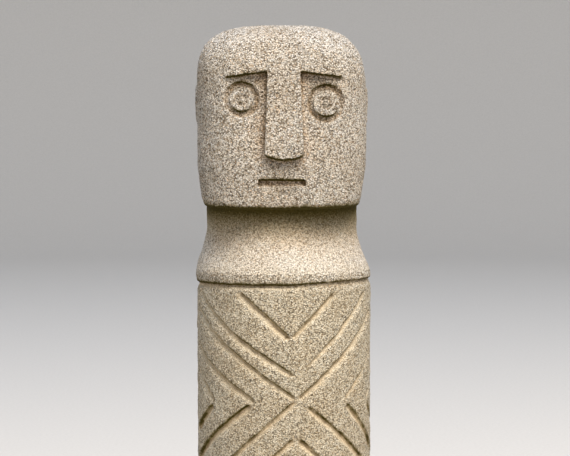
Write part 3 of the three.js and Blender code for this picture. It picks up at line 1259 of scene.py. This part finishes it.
@dataclass(frozen=True)
class GranularStone:
    """Coarse tuff-like stone, picked and chiselled, and weathered outdoors.

    Pale angular grains a little under a millimetre across, with dark gaps and open pits between them, make
    it look crisp and dry; the dark in the gaps and pits is painted shade. It has hardly any gloss. The
    hollows hold orange-brown dirt with painted shade, the creases olive-brown dirt with painted shade, and
    under every ledge lies a thin dark mossy layer that is also painted shadow. Sizes are millimetres.
    """

    name: str = "granular_stone_picked"
    grain: float = 0.82
    fine_grain: float = 0.66
    ragged: float = 0.5
    ragged_size: float = 0.6
    grain_tones: Stops = (
        (0.0, "7b6e5c"),
        (0.1, "b1a593"),
        (0.3, "d6cdbf"),
        (0.65, "e7e1d6"),
        (1.0, "f6f2ec"),
    )
    grain_casts: Stops = ((0.0, "ffe6cc"), (0.13, "fffaf4"), (0.8, "ffffff"), (1.0, "eceff3"))
    cast: float = 0.7
    # The gap and pit darkening is painted shade: the bump casts no shadow of its own.
    gap_edges: tuple[float, float] = (0.4, 0.72)
    gap_shadow: float = 0.62
    pit_spacing: float = 1.2
    pit_edges: tuple[float, float] = (0.16, 0.38)
    pit_flat: tuple[float, float, float] = (1.0, 1.0, 1.5)
    pit_share: float = 0.42
    pit_shadow_strength: float = 0.85
    pit_shadow_colour: str = "382e1e"
    burnish: float = 0.5
    burnish_colour: str = "e4dac9"
    stain: float = 26.0
    stains: Stops = ((0.32, "ead8bd"), (0.62, "fbf9f6"))
    stain_share: float = 0.3
    soil: str = "f9f6ea"
    # The hollow tint is orange-brown dirt and painted shade in one.
    hollow_dirt_and_shade_share: float = 0.5
    hollow_dirt_and_shade: str = "fdd093"
    # The crease tint is olive dirt and painted shade in one.
    crease_edge: float = 0.34
    crease_share: float = 0.8
    crease_dirt_and_shade: str = "463a1b"
    # The algae tint and the mossy layer under ledges are painted shadow as well as growth.
    algae_and_shade_tint: str = "efe2ac"
    moss_and_shadow_share: float = 0.95
    moss_and_shadow_edges: tuple[float, float] = (0.05, 0.85)
    moss_and_shadow_ragged: float = 0.4
    moss_and_shadow: str = "3e360a"
    grit: float = 0.55
    relief: float = 1.15
    tooled_relief: float = 0.35
    pit_depth: float = 1.2
    roughness: float = 0.93
    ior: float = 1.5
    gloss: float = 0.1

    def pattern(self, material: bpy.types.Material) -> GrainPattern:
        """Lays out the pits and the grains, coarse where the stone was picked and fine where it was tooled.

        Args:
            material: The material.

        Returns:
            The pattern's sockets.
        """
        place = add_node(material, "ShaderNodeTexCoord").outputs["Object"]
        marks = {
            name: add_node(material, "ShaderNodeAttribute", attribute_name=name).outputs["Fac"]
            for name in ("crease", "hollow", "coarse", "tooled", "shaded_and_sheltered", "soiled")
        }
        # A little noise moves the place that the grains are read at, so that their outlines are ragged.
        noise = add_node(
            material,
            "ShaderNodeTexNoise",
            {"Vector": place, "Scale": 1 / (self.ragged_size * MM), "Detail": 1.0},
        )
        even = add_node(
            material,
            "ShaderNodeVectorMath",
            {0: noise.outputs["Color"], 1: (0.5, 0.5, 0.5)},
            operation="SUBTRACT",
        )
        push = add_node(
            material,
            "ShaderNodeVectorMath",
            {0: even.outputs[0], "Scale": self.ragged * MM},
            operation="SCALE",
        )
        moved = add_node(
            material, "ShaderNodeVectorMath", {0: place, 1: push.outputs[0]}, operation="ADD"
        ).outputs[0]
        lying = add_node(
            material, "ShaderNodeVectorMath", {0: moved, 1: self.pit_flat}, operation="MULTIPLY"
        ).outputs[0]
        coarse, fine, pits = (
            add_node(material, "ShaderNodeTexVoronoi", {"Vector": vector, "Scale": 1 / (size * MM)})
            for vector, size in ((moved, self.grain), (moved, self.fine_grain), (lying, self.pit_spacing))
        )
        shade = add_node(
            material,
            "ShaderNodeMix",
            {0: marks["coarse"], 6: fine.outputs["Color"], 7: coarse.outputs["Color"]},
            **OVER,
        )
        dome = add_node(
            material,
            "ShaderNodeMix",
            {0: marks["coarse"], 2: fine.outputs["Distance"], 3: coarse.outputs["Distance"]},
            data_type="FLOAT",
        )
        # Only some of the pits' cells hold a pit, and only where the stone was left coarse.
        inner, outer = self.pit_edges
        hollowed = add_node(
            material,
            "ShaderNodeMapRange",
            {"Value": pits.outputs["Distance"], "From Min": outer, "From Max": inner},
        )
        kind = add_node(material, "ShaderNodeSeparateColor", {0: pits.outputs["Color"]})
        is_open = add_node(
            material,
            "ShaderNodeMath",
            {0: kind.outputs[1], 1: 1 - self.pit_share},
            operation="GREATER_THAN",
        )
        opened = add_node(
            material,
            "ShaderNodeMath",
            {0: hollowed.outputs[0], 1: is_open.outputs[0]},
            operation="MULTIPLY",
        )
        pitted = add_node(
            material, "ShaderNodeMath", {0: opened.outputs[0], 1: marks["coarse"]}, operation="MULTIPLY"
        )
        return GrainPattern(place, shade.outputs[2], dome.outputs[0], pitted.outputs[0], marks)

    def clean_colour(self, material: bpy.types.Material, pattern: GrainPattern) -> bpy.types.NodeSocket:
        """The colour of the stone: grains, painted shade in the gaps and pits, tooled slopes and broad pale
        stains.

        Args:
            material: The material.
            pattern: The grains.

        Returns:
            The colour's socket.
        """
        tone = add_node(material, "ShaderNodeSeparateColor", {0: pattern.shade})
        grains = add_node(material, "ShaderNodeValToRGB", {0: tone.outputs[0]})
        set_stops(grains, self.grain_tones)
        casts = add_node(material, "ShaderNodeValToRGB", {0: tone.outputs[1]})
        set_stops(casts, self.grain_casts)
        colour = add_node(
            material, "ShaderNodeMix", {0: self.cast, 6: grains.outputs[0], 7: casts.outputs[0]}, **TIMES
        ).outputs[2]
        # Painted shade: the gaps between the grains are darkened, standing in for the shadow in them.
        near, far = self.gap_edges
        gaps = add_node(
            material,
            "ShaderNodeMapRange",
            {"Value": pattern.dome, "From Min": near, "From Max": far, "To Max": self.gap_shadow},
        )
        colour = add_node(
            material, "ShaderNodeMix", {0: gaps.outputs[0], 6: colour, 7: linear(self.pit_shadow_colour)}, **OVER
        ).outputs[2]
        # The tool burnished the slopes of the grooves: the grains there are closer in tone.
        rubbed = add_node(
            material, "ShaderNodeMath", {0: pattern.marks["tooled"], 1: self.burnish}, operation="MULTIPLY"
        )
        colour = add_node(
            material,
            "ShaderNodeMix",
            {0: rubbed.outputs[0], 6: colour, 7: linear(self.burnish_colour)},
            **OVER,
        ).outputs[2]
        broad = add_node(
            material,
            "ShaderNodeTexNoise",
            {"Vector": pattern.place, "Scale": 1 / (self.stain * MM), "Detail": 3.0},
        )
        tint = add_node(material, "ShaderNodeValToRGB", {0: broad.outputs[0]})
        set_stops(tint, self.stains)
        colour = add_node(
            material, "ShaderNodeMix", {0: self.stain_share, 6: colour, 7: tint.outputs[0]}, **TIMES
        ).outputs[2]
        # Painted shadow: the open pits are darkened, as their bump casts none.
        dark = add_node(
            material, "ShaderNodeMath", {0: pattern.pitted, 1: self.pit_shadow_strength}, operation="MULTIPLY"
        )
        return add_node(
            material, "ShaderNodeMix", {0: dark.outputs[0], 6: colour, 7: linear(self.pit_shadow_colour)}, **OVER
        ).outputs[2]

    def dirty_colour(
        self, material: bpy.types.Material, clean: bpy.types.NodeSocket, pattern: GrainPattern
    ) -> bpy.types.NodeSocket:
        """Lays on soil, then dirt with painted shade: orange-brown in hollows, olive in creases, a dark
        mossy layer under ledges.

        Args:
            material: The material.
            clean: The clean stone's colour.
            pattern: The grains, with what was measured on the stone.

        Returns:
            The colour's socket.
        """
        marks = pattern.marks
        clean = add_node(
            material, "ShaderNodeMix", {0: marks["soiled"], 6: clean, 7: linear(self.soil)}, **TIMES
        ).outputs[2]
        # Painted shade and dirt: the hollows are darkened and turned orange-brown.
        hollow = add_node(
            material, "ShaderNodeMath", {0: marks["hollow"], 1: self.hollow_dirt_and_shade_share}, operation="MULTIPLY"
        )
        colour = add_node(
            material,
            "ShaderNodeMix",
            {0: hollow.outputs[0], 6: clean, 7: linear(self.hollow_dirt_and_shade)},
            **TIMES,
        ).outputs[2]
        # Painted shade and dirt: the creases, such as the grooves' upper walls, are darkened to olive.
        crease = add_node(
            material,
            "ShaderNodeMapRange",
            {"Value": marks["crease"], "From Min": self.crease_edge, "To Max": self.crease_share},
        )
        colour = add_node(
            material,
            "ShaderNodeMix",
            {0: crease.outputs[0], 6: colour, 7: linear(self.crease_dirt_and_shade)},
            **OVER,
        ).outputs[2]
        # Painted shadow and algae: what faces down, and the neck under the chin, is tinted yellow.
        colour = add_node(
            material, "ShaderNodeMix", {0: marks["shaded_and_sheltered"], 6: colour, 7: linear(self.algae_and_shade_tint)}, **TIMES
        ).outputs[2]
        # The dark mossy layer is painted shadow and mossy growth in one; it has a ragged edge: the noise
        # brings it forward here and holds it back there.
        noise = add_node(
            material, "ShaderNodeTexNoise", {"Vector": pattern.place, "Scale": 1 / (self.grain * MM)}
        )
        ragged = add_node(
            material,
            "ShaderNodeMath",
            {0: noise.outputs[0], 1: self.moss_and_shadow_ragged, 2: marks["shaded_and_sheltered"]},
            operation="MULTIPLY_ADD",
        )
        bare, full = (edge + self.moss_and_shadow_ragged / 2 for edge in self.moss_and_shadow_edges)
        film = add_node(
            material,
            "ShaderNodeMapRange",
            {"Value": ragged.outputs[0], "From Min": bare, "From Max": full, "To Max": self.moss_and_shadow_share},
        )
        return add_node(
            material, "ShaderNodeMix", {0: film.outputs[0], 6: colour, 7: linear(self.moss_and_shadow)}, **OVER
        ).outputs[2]

    def relief_of(self, material: bpy.types.Material, pattern: GrainPattern) -> bpy.types.NodeSocket:
        """The finest relief: domed grains, grit over them and open pits, weaker where the stone was tooled.

        Args:
            material: The material.
            pattern: The grains.

        Returns:
            The normal's socket.
        """
        grit = add_node(
            material,
            "ShaderNodeTexNoise",
            {"Vector": pattern.place, "Scale": 1 / (self.grit * MM), "Detail": 2.0},
        )
        domed = add_node(
            material,
            "ShaderNodeMath",
            {0: pattern.dome, 1: -1.0, 2: grit.outputs[0]},
            operation="MULTIPLY_ADD",
        )
        height = add_node(
            material,
            "ShaderNodeMath",
            {0: pattern.pitted, 1: -self.pit_depth, 2: domed.outputs[0]},
            operation="MULTIPLY_ADD",
        )
        firm = add_node(
            material,
            "ShaderNodeMapRange",
            {"Value": pattern.marks["coarse"], "To Min": self.tooled_relief, "To Max": 1.0},
        )
        bump = add_node(
            material,
            "ShaderNodeBump",
            {"Height": height.outputs[0], "Distance": self.relief * MM, "Strength": firm.outputs[0]},
        )
        return bump.outputs[0]

    def build(self) -> bpy.types.Material:
        """Makes the material.

        Returns:
            The material.
        """
        material = empty_material(self.name)
        pattern = self.pattern(material)
        clean = self.clean_colour(material, pattern)
        shader = add_node(
            material,
            "ShaderNodeBsdfPrincipled",
            {
                "Base Color": self.dirty_colour(material, clean, pattern),
                "Roughness": self.roughness,
                "IOR": self.ior,
                "Specular IOR Level": self.gloss,
                "Normal": self.relief_of(material, pattern),
            },
        )
        add_node(material, "ShaderNodeOutputMaterial", {0: shader.outputs[0]})
        return material


@dataclass(frozen=True)
class StudioPaper:
    """Matt pale paper, rolled out under the figure and up behind it. Its fine tooth takes off any sheen."""

    name: str = "matt_studio_paper"
    tones: Stops = ((0.3, "b8b4ad"), (0.7, "bebab3"))
    tooth: float = 2.5
    roughness: float = 0.95

    def build(self) -> bpy.types.Material:
        """Makes the material.

        Returns:
            The material.
        """
        material = empty_material(self.name)
        place = add_node(material, "ShaderNodeTexCoord").outputs["Object"]
        noise = add_node(material, "ShaderNodeTexNoise", {"Vector": place, "Scale": 1 / (self.tooth * MM)})
        tone = add_node(material, "ShaderNodeValToRGB", {0: noise.outputs[0]})
        set_stops(tone, self.tones)
        shader = add_node(
            material,
            "ShaderNodeBsdfPrincipled",
            {"Base Color": tone.outputs[0], "Roughness": self.roughness},
        )
        add_node(material, "ShaderNodeOutputMaterial", {0: shader.outputs[0]})
        return material


# ---------------------------------------------------------------- the studio


@dataclass(frozen=True)
class Softbox:
    """A square soft light: where it hangs and how big it is in metres, its power in watts and its tone."""

    name: str
    place: tuple[float, float, float]
    size: float
    power: float
    tone: str

    def build(self, target: Vector) -> None:
        """Hangs the light and aims it.

        Args:
            target: The point it faces, in metres.
        """
        light = bpy.data.lights.new(self.name, "AREA")
        light.color = linear(self.tone)[:3]
        light.size = self.size
        light.energy = self.power
        lamp = bpy.data.objects.new(self.name, light)
        bpy.context.scene.collection.objects.link(lamp)
        lamp.location = self.place
        lamp.rotation_euler = (target - lamp.location).to_track_quat("-Z", "Y").to_euler()


@dataclass
class Studio:
    """The pale floor, the soft light and the camera. Sizes are metres."""

    figure_height: float
    floor_radius: float = 2.6
    floor_sides: int = 96
    sweep: float = 0.9
    sweep_steps: int = 8
    wall_height: float = 2.6
    softboxes: tuple[Softbox, ...] = (
        Softbox("key_softbox", (0.54, -1.2, 2.1), 1.3, 98.0, "fff6ea"),
        Softbox("overhead_softbox", (0.0, 0.3, 3.2), 3.0, 100.0, "c8dcff"),
    )
    air: str = "c9c3ab"
    air_strength: float = 0.34
    distance: float = 1.5
    aim_level: float = 0.6
    eye_level: float = 0.9023
    camera_x: float = 0.0006
    pitch: float = 3.28
    frame_width: float = 0.3267
    sensor: float = 36.0

    def build(self) -> None:
        """Builds the floor, the lights and the camera."""
        self.floor()
        for softbox in self.softboxes:
            softbox.build(Vector((0, 0, self.aim_level * self.figure_height)))
        self.surround()
        self.camera()

    def floor(self) -> None:
        """Lays a round pale floor whose edge sweeps up into a wall."""
        clear_selection()
        bpy.ops.mesh.primitive_circle_add(
            vertices=self.floor_sides, radius=self.floor_radius, fill_type="NGON"
        )
        floor = bpy.context.object
        edit(floor)
        radius = self.floor_radius
        for i in range(self.sweep_steps):
            a, b = (math.radians(90 * j / self.sweep_steps) for j in (i, i + 1))
            rise = self.sweep * (math.cos(a) - math.cos(b))
            wider = radius + self.sweep * (math.sin(b) - math.sin(a))
            bpy.ops.mesh.extrude_region_move(TRANSFORM_OT_translate={"value": (0, 0, rise)})
            factor = wider / radius
            bpy.ops.transform.resize(value=(factor, factor, 1), center_override=(0, 0, 0))
            radius = wider
        bpy.ops.mesh.extrude_region_move(TRANSFORM_OT_translate={"value": (0, 0, self.wall_height)})
        bpy.ops.mesh.delete(type="FACE")
        bpy.ops.object.mode_set(mode="OBJECT")
        floor.name = "studio_floor"
        floor.data.shade_smooth()
        floor.data.materials.append(StudioPaper().build())
        floor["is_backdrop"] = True

    def surround(self) -> None:
        """Fills the studio with a weak warm light from all round and keeps colours as they are."""
        world = bpy.data.worlds.new("studio_air")
        bpy.context.scene.world = world
        world.use_nodes = True
        background = world.node_tree.nodes["Background"]
        background.inputs["Color"].default_value = linear(self.air)
        background.inputs["Strength"].default_value = self.air_strength
        bpy.context.scene.view_settings.view_transform = "Standard"

    def camera(self) -> None:
        """Sets up the camera, level with the brow and looking a little down."""
        data = bpy.data.cameras.new("studio_camera")
        data.sensor_width = self.sensor
        data.lens = self.sensor * self.distance / self.frame_width
        camera = bpy.data.objects.new("studio_camera", data)
        bpy.context.scene.collection.objects.link(camera)
        camera.location = (self.camera_x, -self.distance, self.eye_level * self.figure_height)
        camera.rotation_euler = (math.radians(90 - self.pitch), 0, 0)
        bpy.context.scene.camera = camera


# ---------------------------------------------------------------- the whole figure


@dataclass
class StoneFigure:
    """The whole figure, from the rough block to the finished stone."""

    post: Post = field(default_factory=Post)
    head: Head = field(default_factory=Head)
    face: Face = field(default_factory=Face)
    carving: Carving = field(default_factory=Carving)
    surface: Surface = field(default_factory=Surface)
    finish: GranularStone = field(default_factory=GranularStone)

    @classmethod
    def in_box(cls, low: Sequence[float], high: Sequence[float], clearance: float = 0.2) -> "StoneFigure":
        """Plans the figure so that its crown and its sawn underside lie just inside a box.

        Args:
            low: The box's lowest corner, in metres.
            high: The box's highest corner, in metres.
            clearance: How far the crown stays under the box's top, in millimetres.

        Returns:
            The planned figure.
        """
        return cls(head=Head(top=high[2] / MM - clearance), surface=Surface(underside=low[2] / MM))

    def build(self) -> bpy.types.Object:
        """Carves, weathers and finishes the stone.

        Returns:
            The finished piece.
        """
        head = self.head.build()
        self.face.build(head)
        LOG.info("head: %d faces with its face carved", len(head.data.polygons))
        stone = self.post.build()
        cut_or_join(stone, head, "UNION")
        grooves = self.carving.build(stone)
        LOG.info("post: %d grooves cut, %d faces", grooves, len(stone.data.polygons))
        self.surface.build(stone)
        stone.name = stone.data.name = "carved_stone"
        Weathering(self.surface, self.post).build(stone)
        stone.data.shade_smooth()
        stone.data.materials.clear()
        stone.data.materials.append(self.finish.build())
        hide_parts(NODE)
        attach(stone, "root")
        LOG.info("stone: %d triangles", len(stone.data.polygons))
        return stone


def plain(bounds: Iterable[Iterable[float]]) -> list[list[float]]:
    """A box as plain lists of numbers."""
    return [[float(value) for value in corner] for corner in bounds]


def main() -> None:
    """Loads the frame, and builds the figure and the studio."""
    logging.basicConfig(level=logging.INFO, format="%(name)s: %(message)s")
    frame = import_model()
    cad_box = plain(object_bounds())
    StoneFigure.in_box(*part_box(NODE)).build()
    Studio(figure_height=cad_box[1][2]).build()


if __name__ == "__main__":
    main()
